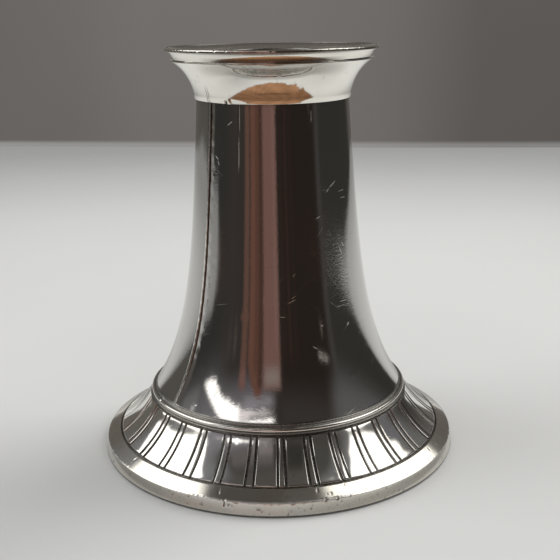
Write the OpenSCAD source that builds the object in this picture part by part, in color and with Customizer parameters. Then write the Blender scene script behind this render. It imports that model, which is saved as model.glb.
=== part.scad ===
// Short silver candlestick: a trumpet column on a round chased foot, with a
// flared collar and a loose nozzle that lifts out for cleaning.
// Millimetres, +Z up, origin at the centre of the face that it stands on.

/* [Foot] */
// Radius of the foot at its lower edge
foot_r = 45.5; // [45.2:0.1:48]
// Radius of the sharp edge between the bevel and the upright side
arris_r = 45; // [44.6:0.1:45.2]
// Height of that sharp edge
arris_z = 3.4; // [3:0.1:4]
// Gap between the rim and the surface that the pad stands on
rim_lift = 0.3; // [0.2:0.1:0.6]
// Hollow of the chased band, measured from its chord
band_hollow = 0.75; // [0.7:0.05:1.3]
// Number of pairs of grooves round the band
groove_pairs = 33; // [24:1:40]
// Depth of the grooves and of the channels that end them
groove_depth = 0.35; // [0.2:0.05:0.5]
// Angle that one groove takes up
groove_angle = 0.65; // [0.4:0.05:0.9]
// Angle between the two grooves of a pair
pair_angle = 2.7; // [2.2:0.1:3.2]

/* [Column] */
// Radius of the straight part of the trumpet, carried down to its foot
shaft_r = 22.45; // [22.3:0.05:22.6]
// How much that radius shrinks with each millimetre of height
shaft_taper = 0.0545; // [0.053:0.0005:0.056]
// How much the trumpet flares out at its foot
flare = 9.2; // [9:0.1:9.3]
// Height over which the flare dies away
flare_length = 15.5; // [13:0.5:18]
// Thickness of the column's sheet
column_wall = 0.6; // [0.4:0.1:0.8]
// Direction of the joint in the column's sheet, in degrees from +X
seam_azimuth = -142.5; // [-180:0.5:180]
// Angle that the solder in the joint takes up
seam_angle = 1.4; // [0.8:0.1:3]

/* [Collar] */
// Height of the collar's lower edge
collar_z = 88.75; // [88.5:0.05:89.2]
// Radius of the collar at its lower edge
collar_r = 19.2; // [19:0.05:19.4]
// Radius of the curve that flares the collar out
collar_curve = 10.5; // [10.4:0.1:10.8]

/* [Nozzle] */
// Radius of the drip pan over its rim
pan_r = 25.8; // [25.6:0.1:26.5]
// Depth of the dish in the drip pan
dish_depth = 1.25; // [0.8:0.05:1.3]
// Radius of the candle socket
socket_r = 11.3; // [10.5:0.1:11.5]
// Depth of the candle socket
socket_depth = 23; // [18:1:26]

/* [Hidden] */
$fn = 180;

silver = "#d9d5cc";
worn_silver = "#c9c4b8";

// Foot: the pad and the disc lie inside the rim, and the band leans from the
// rim up to the moulding
pad_r = 43.3;
pad_h = 1.3;
disc_r = 43.6;
disc_top = 3.3;
band_low = [41.7, 5.3];
band_high = [33.1, 14.5];
band_wall = 0.9;
band_steps = 8;
channel_width = 0.5;
front_azimuth = -89.6;

// Reeds of the moulding at the column's foot, from the lowest up
reeds = [[[32.97, 14.63], 0.13, -45, 90], [[32.4, 15.32], 0.56, -60, 110], [[31.7, 16.25], 0.2, -60, 90]];
reed_steps = 8;

// Column
column_low = 16.45;
column_high = 96.6;
column_steps = 32;

// Collar and the seat inside it
collar_top = 98.1;
collar_rim_r = 24.5;
collar_edge = 0.3;
collar_steps = 12;
bezel_hole_r = 22.6;
seat_z = 97.4;
seat_r = 21.9;
sleeve_r = 12.5;
sleeve_wall = 0.6;
sleeve_floor = 0.8;

// Nozzle: its bezel stands on the seat plate and centres it in the collar
nozzle_wall = 0.7;
bezel_play = 0.08;
seat_play = 0.05;
bezel_wall = 0.8;
ring_foot = [24.35, 98.4];
ring_top = [25.25, 100.25];
ring_hollow = 0.25;
rim_wire_w = 0.85;
rim_wire_h = 0.75;
pan_steps = 8;
dish_r = 20.5;
mouth_lip = 0.1;
tube_r = socket_r + nozzle_wall;
pan_edge_r = pan_r - rim_wire_w;
pan_edge_z = ring_top[1];
pan_z = pan_edge_z - dish_depth;
mouth_z = pan_z + nozzle_wall + mouth_lip;
socket_z = mouth_z - socket_depth;
well_depth_play = 0.5;
well_z = socket_z - nozzle_wall - well_depth_play;

function backwards(list) = [for (i = [len(list) - 1:-1:0]) list[i]];

// Points of an arc about a centre, between two angles
function arc(centre, radius, from, to, steps) =
    [for (i = [0:steps]) let(a = from + (to - from) * i / steps) centre + radius * [cos(a), sin(a)]];

// Points of an arc from a to b that is hollow to the right of the way there
function hollow_arc(a, b, hollow, steps) =
    let(chord = b - a,
        reach = norm(chord),
        radius = (reach * reach / 4 + hollow * hollow) / (2 * hollow),
        outward = [chord[1], -chord[0]] / reach,
        centre = (a + b) / 2 + outward * (radius - hollow),
        half = asin(reach / 2 / radius),
        middle = atan2(-outward[1], -outward[0]))
    arc(centre, radius, middle + half, middle - half, steps);

// The chased band's hollow face sunk by depth, between two shares of its
// length from the bottom up
band_chord = band_high - band_low;
band_reach = norm(band_chord);
band_curve_r = (band_reach * band_reach / 4 + band_hollow * band_hollow) / (2 * band_hollow);
band_outward = [band_chord[1], -band_chord[0]] / band_reach;
band_centre = (band_low + band_high) / 2 + band_outward * (band_curve_r - band_hollow);
band_half_angle = asin(band_reach / 2 / band_curve_r);
band_middle = atan2(-band_outward[1], -band_outward[0]);
channel_share = channel_width / band_reach;
function band_angle(share) = band_middle + band_half_angle * (1 - 2 * share);
function band_face(depth, from = 0, to = 1) =
    arc(band_centre, band_curve_r + depth, band_angle(from), band_angle(to), band_steps);
function band_cut(from = 0, to = 1) =
    concat(band_face(-2 * groove_depth, from, to), backwards(band_face(groove_depth, from, to)));

// Outer radius of the trumpet column at a height, and its outline: the
// heights crowd together at the foot, where it curves most
function column_r(z) =
    let(up = z - column_low) shaft_r - shaft_taper * up + flare * exp(-up / flare_length);
function column_face(depth, from = column_low) =
    [for (i = [0:column_steps])
        let(z = from + (column_high - from) * pow(i / column_steps, 1.6)) [column_r(z) - depth, z]];
column_sheet = concat(column_face(0), backwards(column_face(column_wall)));
column_foot_r = column_r(column_low) - column_wall;

// Outer radius of the collar at a height
function collar_face_r(z) =
    let(up = z - collar_z) collar_r + collar_curve - sqrt(collar_curve * collar_curve - up * up);

// Height of the drip pan's underside at a radius
function pan_under_z(r) = pan_z + dish_depth * pow(max(0, r - dish_r) / (pan_edge_r - dish_r), 2);
function pan_face(from, to, thickness) =
    [for (i = [0:pan_steps]) let(r = from + (to - from) * i / pan_steps) [r, pan_under_z(r) + thickness]];

module turned(points) {
    rotate_extrude() polygon(points);
}

module sector(middle, angle, points) {
    rotate([0, 0, middle - angle / 2]) rotate_extrude(angle = angle) polygon(points);
}

module ring(inner, outer, low, high) {
    turned([[inner, low], [outer, low], [outer, high], [inner, high]]);
}

module baize_pad() {
    color("#3f5a46") cylinder(r = pad_r, h = pad_h);
}

module closing_disc() {
    color("#7a5a3c") translate([0, 0, pad_h]) cylinder(r = disc_r, h = disc_top - pad_h);
}

// Fills the sheet work from the closing disc up to the seat plate, round the
// sleeve that the nozzle drops into
module load_filling() {
    band_inside = band_face(band_wall);
    sleeve_outer = sleeve_r + sleeve_wall;
    sleeve_low = well_z - sleeve_floor;
    color("#4a4038")
        turned(concat(
            [[0, disc_top], [disc_r, disc_top]],
            band_inside,
            [[column_foot_r, band_inside[band_steps][1]]],
            column_face(column_wall),
            [[sleeve_outer, column_high], [sleeve_outer, sleeve_low], [0, sleeve_low]]));
}

module foot_rim() {
    color(worn_silver)
        turned([
            [disc_r, rim_lift], [foot_r, rim_lift], [arris_r, arris_z], band_low,
            band_face(band_wall)[0], [disc_r, disc_top]]);
}

// Pairs of grooves leave a wide panel and a narrow rib by turns, and a
// channel along each edge of the band ends them
module chased_band() {
    color(silver)
        difference() {
            turned(concat(band_face(0), backwards(band_face(band_wall))));
            turned(band_cut(-channel_share, channel_share));
            turned(band_cut(1 - channel_share, 1 + channel_share));
            for (i = [0:groove_pairs - 1], side = [-1, 1])
                sector(
                    front_azimuth + i * 360 / groove_pairs + side * pair_angle / 2,
                    groove_angle, band_cut(-channel_share, 1 + channel_share));
        }
}

module foot_moulding() {
    low = band_face(band_wall)[band_steps];
    reed_points = [for (reed = reeds) each arc(reed[0], reed[1], reed[2], reed[3], reed_steps)];
    color(silver)
        turned(concat(
            [[column_foot_r, low[1]], low, band_high], reed_points, [[column_foot_r, column_low]]));
}

module column() {
    color(silver) sector(seam_azimuth + 180, 360 - seam_angle, column_sheet);
}

module column_seam() {
    color(worn_silver) sector(seam_azimuth, seam_angle, column_sheet);
}

// Laps over the top of the column, and its rim takes the nozzle's bezel
module collar() {
    rim_low = collar_top - collar_edge;
    lap = [for (p = backwards(column_face(0))) if (p[1] > collar_z) p];
    color(silver)
        turned(concat(
            [for (i = [0:collar_steps])
                let(z = collar_z + (rim_low - collar_z) * i / collar_steps) [collar_face_r(z), z]],
            [[collar_rim_r, rim_low], [collar_rim_r, collar_top], [bezel_hole_r, collar_top],
             [bezel_hole_r, seat_z], [seat_r, seat_z], [seat_r, column_high]],
            lap,
            [[column_r(collar_z), collar_z]]));
}

module seat_plate() {
    color(worn_silver) ring(sleeve_r + sleeve_wall, seat_r, column_high, seat_z);
}

module nozzle_sleeve() {
    color(worn_silver)
        turned([
            [0, well_z - sleeve_floor], [sleeve_r + sleeve_wall, well_z - sleeve_floor],
            [sleeve_r + sleeve_wall, seat_z], [sleeve_r, seat_z], [sleeve_r, well_z], [0, well_z]]);
}

// Cavetto under the pan, with the bezel that stands on the seat plate
module seat_ring() {
    bezel_r = bezel_hole_r - bezel_play;
    bezel_z = seat_z + seat_play;
    color(silver)
        turned(concat(
            [[bezel_r - bezel_wall, bezel_z], [bezel_r, bezel_z], [bezel_r, ring_foot[1]]],
            hollow_arc(ring_foot, ring_top, ring_hollow, pan_steps),
            pan_face(pan_edge_r, bezel_r - bezel_wall, 0)));
}

module drip_pan() {
    color(silver)
        turned(concat(pan_face(tube_r, pan_edge_r, 0), pan_face(pan_edge_r, tube_r, nozzle_wall)));
}

module pan_rim() {
    half = rim_wire_h / 2;
    color(silver)
        turned(concat(
            [[pan_edge_r, pan_edge_z]],
            arc([pan_r - half, pan_edge_z + half], half, -90, 90, reed_steps),
            [[pan_edge_r, pan_edge_z + rim_wire_h]]));
}

module socket_tube() {
    color(silver) ring(socket_r, tube_r, socket_z, mouth_z);
}

module socket_floor() {
    color(worn_silver) translate([0, 0, socket_z - nozzle_wall]) cylinder(r = tube_r, h = nozzle_wall);
}

baize_pad();
closing_disc();
load_filling();
foot_rim();
chased_band();
foot_moulding();
column();
column_seam();
collar();
seat_plate();
nozzle_sleeve();
seat_ring();
drip_pan();
pan_rim();
socket_tube();
socket_floor();
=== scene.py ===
import math

import bpy
import numpy as np
from mathutils import Matrix, Vector


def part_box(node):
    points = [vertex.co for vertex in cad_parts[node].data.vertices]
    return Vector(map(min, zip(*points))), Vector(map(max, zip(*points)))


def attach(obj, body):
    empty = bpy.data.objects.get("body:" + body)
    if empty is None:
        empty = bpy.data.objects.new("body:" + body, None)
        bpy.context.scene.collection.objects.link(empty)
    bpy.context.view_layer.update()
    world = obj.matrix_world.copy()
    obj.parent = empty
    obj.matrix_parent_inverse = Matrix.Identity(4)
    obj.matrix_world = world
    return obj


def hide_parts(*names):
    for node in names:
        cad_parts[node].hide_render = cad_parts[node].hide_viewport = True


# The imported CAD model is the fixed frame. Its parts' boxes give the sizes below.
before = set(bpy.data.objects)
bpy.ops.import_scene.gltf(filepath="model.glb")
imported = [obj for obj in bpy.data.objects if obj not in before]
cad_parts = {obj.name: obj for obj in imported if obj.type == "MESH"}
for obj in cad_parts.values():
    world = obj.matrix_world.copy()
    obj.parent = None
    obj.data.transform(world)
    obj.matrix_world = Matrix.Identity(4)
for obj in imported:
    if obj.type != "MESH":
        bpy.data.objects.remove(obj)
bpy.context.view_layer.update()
rng = np.random.default_rng(520)
MM = 0.001
# UV units for each millimetre of a turned surface
UV_SCALE = 0.01


def low(node, axis):
    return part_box(node)[0][axis] / MM


def high(node, axis):
    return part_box(node)[1][axis] / MM


# ---------------------------------------------------------------- sizes, in millimetres
FOOT_R, RIM_LIFT = high("foot_rim", 0), low("foot_rim", 2)
ARRIS = (45.0, 3.4)
BAND_LOW, BAND_HIGH = np.array([41.7, 5.3]), np.array([33.1, 14.5])
BAND_HOLLOW, BAND_WALL = 0.75, 0.9
PAIRS, PAIR_ANGLE, FRONT = 33, 2.7, -89.6
GROOVE_DEPTH, GROOVE_HALF, CHANNEL = 0.35, 0.21, 0.5
PAD_R, PAD_H = high("baize_pad", 0), high("baize_pad", 2)
DISC_R, DISC_TOP = high("closing_disc", 0), high("closing_disc", 2)
COLUMN_LOW, COLUMN_HIGH = low("column", 2), high("column", 2)
COLUMN_WALL = 0.6
SEAM, SEAM_ANGLE = -142.5, 1.4
COLLAR_LOW, COLLAR_TOP, COLLAR_RIM_R = low("collar", 2), high("collar", 2), high("collar", 0)
COLLAR_R, COLLAR_CURVE, COLLAR_EDGE = 19.2, 10.5, 0.3
HOLE_R, SEAT_R, SEAT_Z = 22.6, high("seat_plate", 0), high("seat_plate", 2)
SLEEVE_OUT, SLEEVE_LOW = high("nozzle_sleeve", 0), low("nozzle_sleeve", 2)
SLEEVE_IN, SLEEVE_FLOOR = SLEEVE_OUT - 0.6, SLEEVE_LOW + 0.8
BEZEL_OUT, BEZEL_IN, BEZEL_Z = 22.52, 21.72, low("seat_ring", 2)
RING_FOOT, RING_TOP, RING_HOLLOW = np.array([24.35, 98.4]), np.array([25.25, 100.25]), 0.25
PAN_R, PAN_TOP = high("pan_rim", 0), high("pan_rim", 2)
PAN_EDGE_R, PAN_EDGE_Z = PAN_R - 0.85, low("pan_rim", 2)
PAN_Z, DISH, DISH_R, PAN_WALL = low("drip_pan", 2), 1.25, 20.5, 0.7
TUBE_OUT, TUBE_IN = high("socket_tube", 0), high("socket_tube", 0) - 0.7
TUBE_LOW, TUBE_TOP = low("socket_tube", 2), high("socket_tube", 2)
FLOOR_LOW = low("socket_floor", 2)


def column_r(z):
    up = z - COLUMN_LOW
    return 22.45 - 0.0545 * up + 9.2 * np.exp(-up / 15.5)


def collar_r(z):
    up = z - COLLAR_LOW
    return COLLAR_R + COLLAR_CURVE - np.sqrt(COLLAR_CURVE**2 - up * up)


def pan_under(r):
    return PAN_Z + DISH * (np.maximum(0, r - DISH_R) / (PAN_EDGE_R - DISH_R)) ** 2


# ---------------------------------------------------------------- profiles
def arc(centre, radius, start, end, steps):
    a = np.radians(np.linspace(start, end, steps + 1))
    return [(centre[0] + radius * math.cos(x), centre[1] + radius * math.sin(x)) for x in a]


def hollow_arc(a, b, hollow, steps, depth=0):
    """A hollow curve from a to b, hollow deep in the middle. depth sinks all of it into the piece."""
    chord = b - a
    reach = np.linalg.norm(chord)
    radius = (reach**2 / 4 + hollow**2) / (2 * hollow)
    outward = np.array([chord[1], -chord[0]]) / reach
    centre = (a + b) / 2 + outward * (radius - hollow)
    half = math.degrees(math.asin(reach / 2 / radius))
    middle = math.degrees(math.atan2(-outward[1], -outward[0]))
    return arc(centre, radius + depth, middle + half, middle - half, steps)


def band_face(depth, steps):
    """The chased band's hollow face, sunk by depth, from the bottom up."""
    return hollow_arc(BAND_LOW, BAND_HIGH, BAND_HOLLOW, steps, depth)


def rounded(points, radius, steps=3, closed=True, least=20):
    """Rounds each corner that turns by more than least degrees.
    radius is a number, a function of the corner, or pairs of a corner and its radius."""
    pts = [np.array(p, float) for p in points]

    def radius_at(p):
        if isinstance(radius, list):
            return next((r for corner, r in radius if math.dist(corner, p) < 1e-4), 0.0)
        return radius(p) if callable(radius) else radius

    n, out = len(pts), []
    for i, p in enumerate(pts):
        if not closed and i in (0, n - 1):
            out.append(p)
            continue
        a, b = pts[i - 1], pts[(i + 1) % n]
        la, lb = np.linalg.norm(p - a), np.linalg.norm(b - p)
        da, db = (p - a) / la, (b - p) / lb
        turn = math.degrees(math.acos(max(-1, min(1, float(da @ db)))))
        r = radius_at(p)
        if turn < least or r <= 0:
            out.append(p)
            continue
        t = min(r * math.tan(math.radians(turn / 2)), 0.45 * la, 0.45 * lb)
        start, end = p - da * t, p + db * t
        for k in range(steps + 1):
            u = k / steps
            out.append((1 - u) ** 2 * start + 2 * u * (1 - u) * p + u * u * end)
    return out


def fine(points, step, closed=True):
    """Adds points so that no stretch is longer than step. step is a number, or a function of a point."""
    out = []
    n = len(points)
    for i in range(n if closed else n - 1):
        a, b = np.array(points[i], float), np.array(points[(i + 1) % n], float)
        s = step((a + b) / 2) if callable(step) else step
        parts = max(1, math.ceil(np.linalg.norm(b - a) / s))
        out += [a + (b - a) * k / parts for k in range(parts)]
    if not closed:
        out.append(np.array(points[-1], float))
    return np.array(out)


# ---------------------------------------------------------------- meshes
def build(name, xyz, faces, uv, grime_and_shade, rub_and_highlight):
    """A smooth mesh object from points in millimetres."""
    mesh = bpy.data.meshes.new(name)
    mesh.from_pydata((xyz * MM).tolist(), [], faces)
    mesh.validate(clean_customdata=False)
    mesh.polygons.foreach_set("use_smooth", np.ones(len(mesh.polygons), bool))
    mesh.set_sharp_from_angle(angle=math.radians(40))
    loops = np.zeros(len(mesh.loops), np.int32)
    mesh.loops.foreach_get("vertex_index", loops)
    layer = mesh.uv_layers.new(name="turned")
    layer.data.foreach_set("uv", (uv[loops] * UV_SCALE).astype(np.float32).ravel())
    # One attribute carries dirt and painted shade, the other rubbing and painted highlights.
    for kind, values in (("grime_and_shade", grime_and_shade), ("rub_and_highlight", rub_and_highlight)):
        mesh.attributes.new(kind, "FLOAT", "POINT").data.foreach_set("value", values.astype(np.float32))
    mesh.update()
    obj = bpy.data.objects.new(name, mesh)
    bpy.context.scene.collection.objects.link(obj)
    return obj


def sweep(profile, thetas, shape, closed=True, ring=True, cut=90.0, mean_r=None):
    """Turns a profile, listed anticlockwise in (r, z), round Z.
    thetas is a number of steps, or angles in degrees. shape(R, Z, T, push, grime) changes the grids in place,
    where push moves a point along its outward normal.
    Gives the points, faces, UV, grime and rub, and then the number of each point in the grid."""
    p = np.array(profile, float)
    th = cut + np.arange(thetas) * 360.0 / thetas if isinstance(thetas, int) else np.array(thetas, float)
    U, V = len(p), len(th)
    R, Z = np.repeat(p[:, :1], V, 1), np.repeat(p[:, 1:], V, 1)
    T = np.repeat(th[None, :], U, 0)
    ahead, behind = np.roll(p, -1, 0), np.roll(p, 1, 0)
    if not closed:
        ahead[-1], behind[0] = p[-1], p[0]
    d = ahead - behind
    length = np.maximum(np.linalg.norm(d, axis=1), 1e-9)
    along = np.concatenate([[0], np.cumsum(np.linalg.norm(np.diff(p, axis=0), axis=1))])
    push, grime_and_shade = np.zeros((U, V)), np.zeros((U, V))
    rub_and_highlight = shape(R, Z, T, push, grime_and_shade)
    rub_and_highlight = np.zeros((U, V)) if rub_and_highlight is None else rub_and_highlight
    R = R + push * (d[:, 1] / length)[:, None]
    Z = Z + push * (-d[:, 0] / length)[:, None]
    a = np.radians(T)
    grid = np.stack([R * np.cos(a), R * np.sin(a), Z], -1).reshape(-1, 3)
    mean_r = mean_r or max(5.0, float(p[:, 0].mean()))
    uv = np.stack([np.radians(T - cut) * mean_r, np.repeat(along[:, None], V, 1)], -1).reshape(-1, 2)
    index = np.arange(U * V).reshape(U, V)
    on_axis = p[:, 0] < 1e-6
    index[on_axis] = index[on_axis, :1]
    here = np.arange(V if ring else V - 1)
    after = (here + 1) % V
    faces = []
    for u in range(U if closed else U - 1):
        w = (u + 1) % U
        if on_axis[u] and on_axis[w]:
            continue
        q = np.stack([index[u, here], index[u, after], index[w, after], index[w, here]], -1)
        if on_axis[u]:
            q = q[:, 1:]
        elif on_axis[w]:
            q = q[:, :3]
        faces += q.tolist()
    used = np.zeros(U * V, bool)
    used[index.ravel()] = True
    new = np.cumsum(used) - 1
    faces = [[int(new[k]) for k in f] for f in faces]
    return (grid[used], faces, uv[used], grime_and_shade.ravel()[used], rub_and_highlight.ravel()[used]), new[index]


def bump1(x, width):
    """A smooth bump of height 1 that ends at width."""
    t = np.clip(1 - (x / width) ** 2, 0, 1)
    return t * t


def step(x, a, b):
    t = np.clip((x - a) / (b - a), 0, 1)
    return t * t * (3 - 2 * t)


def turn_to(t, at):
    """Angle from at to t, in degrees, between -180 and 180."""
    return (t - at + 180) % 360 - 180


def round_mm(T, at, R):
    """Millimetres round the piece from the angle at."""
    return np.radians(turn_to(T, at)) * R


def lay_dark(grime_and_shade, amount):
    """Lays dirt and painted shade where they are heavier than what is there."""
    np.maximum(grime_and_shade, amount, out=grime_and_shade)


def wobble(T, Z, size, seed):
    """Slow unevenness of hand work: size millimetres at most, round and along the piece."""
    r = np.random.default_rng(seed)
    out = np.zeros_like(T)
    for k in (2, 3, 5, 8, 13):
        a, b = r.uniform(0, 2 * math.pi, 2)
        out += np.sin(np.radians(T * k) + a + Z * r.uniform(0.02, 0.16)) * math.cos(b) / k
    return out * size / 1.2


def dents(R, Z, T, push, grime_and_shade, count, where, size, depth, dark, seed):
    """Small pits and dings: where gives the ranges of angle and height, size and depth their ranges."""
    r = np.random.default_rng(seed)
    for _ in range(count):
        t0, z0 = r.uniform(*where[0]), r.uniform(*where[1])
        w, d = r.uniform(*size), r.uniform(*depth)
        stretch, tilt = r.uniform(0.6, 1.8), r.uniform(0, math.pi)
        x = round_mm(T, t0, R)
        y = Z - z0
        near = (np.abs(x) < 3 * w) & (np.abs(y) < 3 * w)
        if not near.any():
            continue
        c, s = math.cos(tilt), math.sin(tilt)
        dist = np.hypot((x * c + y * s) / stretch, -x * s + y * c)
        m = near * bump1(dist, w)
        push -= d * m
        lay_dark(grime_and_shade, dark * m)


# ---------------------------------------------------------------- node materials
class Shader:
    """The nodes of a new material or world. An input takes a number, a colour or another node's socket."""

    def __init__(self, owner):
        owner.use_nodes = True
        self.owner, self.tree = owner, owner.node_tree
        self.tree.nodes.clear()

    def feed(self, socket, value):
        if isinstance(value, bpy.types.NodeSocket):
            self.tree.links.new(value, socket)
        else:
            socket.default_value = (*value, 1) if socket.type == "RGBA" else value

    def add(self, kind, *inputs, **values):
        """Adds a node and gives its outputs. inputs are fed in order.
        In values, small letters name settings and capitals name inputs."""
        n = self.tree.nodes.new("ShaderNode" + kind)
        for key, value in values.items():
            if key[0].islower():
                setattr(n, key, value)
            else:
                self.feed(n.inputs[key.replace("_", " ")], value)
        for socket, value in zip(n.inputs, inputs):
            self.feed(socket, value)
        return n.outputs

    def math(self, operation, *values, clamp=False):
        return self.add("Math", *values, operation=operation, use_clamp=clamp)[0]

    def mul(self, a, b, clamp=False):
        return self.math("MULTIPLY", a, b, clamp=clamp)

    def mul_add(self, a, b, c, clamp=False):
        return self.math("MULTIPLY_ADD", a, b, c, clamp=clamp)

    def place(self):
        return self.add("TexCoord")["Object"]

    def painted(self, name, output):
        """A value or colour that the mesh carries."""
        return self.add("Attribute", attribute_name=name)[output]

    def noise(self, vector, scale, detail, roughness=0.5, distortion=0.0):
        return self.add("TexNoise", Vector=vector, Scale=scale, Detail=detail, Roughness=roughness,
                        Distortion=distortion)[0]

    def stretched(self, vector, x, y):
        return self.add("Mapping", Vector=vector, Scale=(x, y, 1.0))[0]

    def ramp(self, source, *stops):
        n = self.tree.nodes.new("ShaderNodeValToRGB")
        elements = n.color_ramp.elements
        while len(elements) < len(stops):
            elements.new(0.5)
        for element, (place, colour) in zip(elements, stops):
            element.position = place
            element.color = (*colour, 1) if hasattr(colour, "__len__") else (colour, colour, colour, 1)
        self.feed(n.inputs[0], source)
        return n.outputs[0]

    def mix(self, factor, a, b, blend="MIX"):
        n = self.tree.nodes.new("ShaderNodeMix")
        n.data_type, n.blend_type = "RGBA", blend
        for socket, value in ((0, factor), (6, a), (7, b)):
            self.feed(n.inputs[socket], value)
        return n.outputs[2]

    def bump(self, height, strength, distance):
        return self.add("Bump", Height=height, Strength=strength, Distance=distance)[0]

    def surface(self, socket):
        self.add("OutputMaterial", socket)
        return self.owner

    def principled(self, **inputs):
        return self.surface(self.add("BsdfPrincipled", **inputs)[0])


def shader(name):
    return Shader(bpy.data.materials.new(name))


def scratches(s, uv, scale, half_length, half_width, seed):
    """One short straight scratch in each cell of a pattern in UV space: 1 on the scratch and 0 off it."""
    shifted = s.add("VectorMath", uv, (seed * 0.37, seed * 0.71, 0), operation="ADD")[0]
    cell = s.add("TexVoronoi", voronoi_dimensions="2D", feature="F1", Vector=shifted, Scale=scale)
    big = s.add("VectorMath", operation="SCALE", Vector=shifted, Scale=scale)[0]
    middle = s.add("VectorMath", operation="SCALE", Vector=cell["Position"], Scale=scale)[0]
    off = s.add("VectorMath", big, middle, operation="SUBTRACT")[0]
    chance = s.add("SeparateColor", cell["Color"])
    angle = s.mul(chance[0], math.pi)
    xy = s.add("SeparateXYZ", s.add("VectorRotate", rotation_type="Z_AXIS", Vector=off, Angle=angle)[0])
    reach = s.mul_add(chance[1], half_length, half_length * 0.3)
    inside = s.math("LESS_THAN", s.math("ABSOLUTE", xy[0]), reach)
    line = s.add("MapRange", interpolation_type="SMOOTHSTEP", Value=s.math("ABSOLUTE", xy[1]),
                 From_Min=half_width, From_Max=0.0)[0]
    return s.mul(s.mul(line, inside), s.math("POWER", chance[2], 1.5))


def one_mark(s, uv, u, v, half_long, half_wide, tilt):
    """A scratch at one place, in millimetres on the turned surface: 1 on it and 0 off it."""
    middle = (u * UV_SCALE, v * UV_SCALE, 0)
    size = (half_long * UV_SCALE, half_wide * UV_SCALE, 1)
    place = s.add("Mapping", vector_type="TEXTURE", Vector=uv, Location=middle,
                  Rotation=(0, 0, math.radians(tilt)), Scale=size)[0]
    xy = s.add("SeparateXYZ", place)
    ragged = s.mul_add(s.noise(place, 6.0, 2.0), 1.6, -0.8)
    across = s.math("ABSOLUTE", s.math("ADD", xy[1], ragged))
    inside = s.math("SUBTRACT", 1.0, s.math("MAXIMUM", s.math("ABSOLUTE", xy[0]), across), clamp=True)
    return s.mul(inside, 2.0, clamp=True)


DIRT_AND_SHADE_COLOUR, WORN_AND_HIGHLIGHT_COLOUR = (0.075, 0.068, 0.058), (0.97, 0.965, 0.95)


def silver(name, base, roughness, tarnish=0.3, scratch=0.6, pits=0.5, haze=0.05, marks_at=()):
    """Worn silver: its colour varies with tarnish, with an attribute for dirt and painted shade, and with one
    for rubbing and painted highlights; its gloss varies with rubbing.
    """
    s = shader(name)
    place = s.place()
    uv = s.add("UVMap", uv_map="turned")[0]
    slow = s.noise(place, 55.0, 3.0)
    mid = s.noise(place, 330.0, 6.0, 0.65)
    cloud = s.ramp(slow, (0.35, 0.0), (0.7, 1.0))
    warm_base = (base[0] * 0.98, base[1] * 0.93, base[2] * 0.82)
    tone = s.mix(s.mul(cloud, tarnish), base, warm_base)
    spots = s.ramp(mid, (0.6, 0.0), (0.78, 1.0))
    tone = s.mix(s.mul(spots, tarnish * 0.9), tone, tuple(x * 0.72 for x in base))

    # Streaks up the piece and hoops round it, from rubbing and polishing
    lines = s.noise(s.stretched(uv, 1.0, 0.045), 150.0, 4.0, 0.7)
    hoops = s.noise(s.stretched(uv, 0.05, 1.0), 380.0, 3.0, 0.6)
    marks = scratches(s, uv, 22.0, 0.36, 0.012, 3.0)
    for strength, *pattern in ((0.5, 70.0, 0.34, 0.03, 8.0), (0.12, 160.0, 0.42, 0.05, 5.0)):
        marks = s.math("MAXIMUM", marks, s.mul(scratches(s, uv, *pattern), strength))
    # The light attribute carries rubbing and painted highlights.
    bright = s.painted("rub_and_highlight", "Fac")
    for mark in marks_at:
        bright = s.math("MAXIMUM", bright, one_mark(s, uv, *mark))

    speck = s.add("TexVoronoi", feature="F1", Vector=place, Scale=900.0)["Distance"]
    pit = s.mul(s.ramp(speck, (0.06, 1.0), (0.16, 0.0)), s.ramp(mid, (0.55, 0.0), (0.66, 1.0)))
    grit = s.noise(place, 2400.0, 3.0)
    # The dark attribute carries dirt and painted shade; pits add dirt.
    dirt_and_shade = s.mul(s.painted("grime_and_shade", "Fac"), s.mul_add(grit, 0.7, 0.65), clamp=True)
    dirt_and_shade = s.math("MAXIMUM", dirt_and_shade, s.mul(pit, pits * 0.8))
    tone = s.mix(bright, s.mix(dirt_and_shade, tone, DIRT_AND_SHADE_COLOUR), WORN_AND_HIGHLIGHT_COLOUR)

    gloss = s.mul_add(lines, 0.03, roughness - 0.015)
    for source, amount in ((cloud, 0.06 * tarnish), (marks, 0.14 * scratch), (bright, 0.34)):
        gloss = s.mul_add(source, amount, gloss)
    gloss = s.mul_add(dirt_and_shade, 0.35, gloss, clamp=True)

    height = s.mul(marks, -1.0 * scratch)
    for source, amount in ((hoops, 0.02 + haze * 0.25), (grit, haze), (lines, 0.02), (slow, 0.5),
                           (pit, -0.9 * pits), (s.mul(dirt_and_shade, grit), 0.8)):
        height = s.mul_add(source, amount, height)
    return s.principled(Metallic=1.0, Base_Color=tone, Roughness=gloss, Normal=s.bump(height, 0.5, 0.00001))


def baize_material():
    s = shader("baize_cloth")
    place = s.place()
    fibre = s.noise(place, 1500.0, 8.0, 0.75, 1.5)
    worn = s.ramp(s.noise(place, 60.0, 3.0), (0.45, 0.0), (0.75, 0.6))
    colour = s.ramp(fibre, (0.25, (0.010, 0.028, 0.014)), (0.5, (0.030, 0.075, 0.040)),
                    (0.8, (0.075, 0.14, 0.085)))
    colour = s.mix(worn, colour, (0.10, 0.115, 0.075))
    return s.principled(Base_Color=colour, Roughness=s.mul_add(fibre, 0.15, 0.82), Sheen_Weight=0.6,
                        Sheen_Roughness=0.5, Specular_IOR_Level=0.2, Normal=s.bump(fibre, 0.8, 0.0002))


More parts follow.
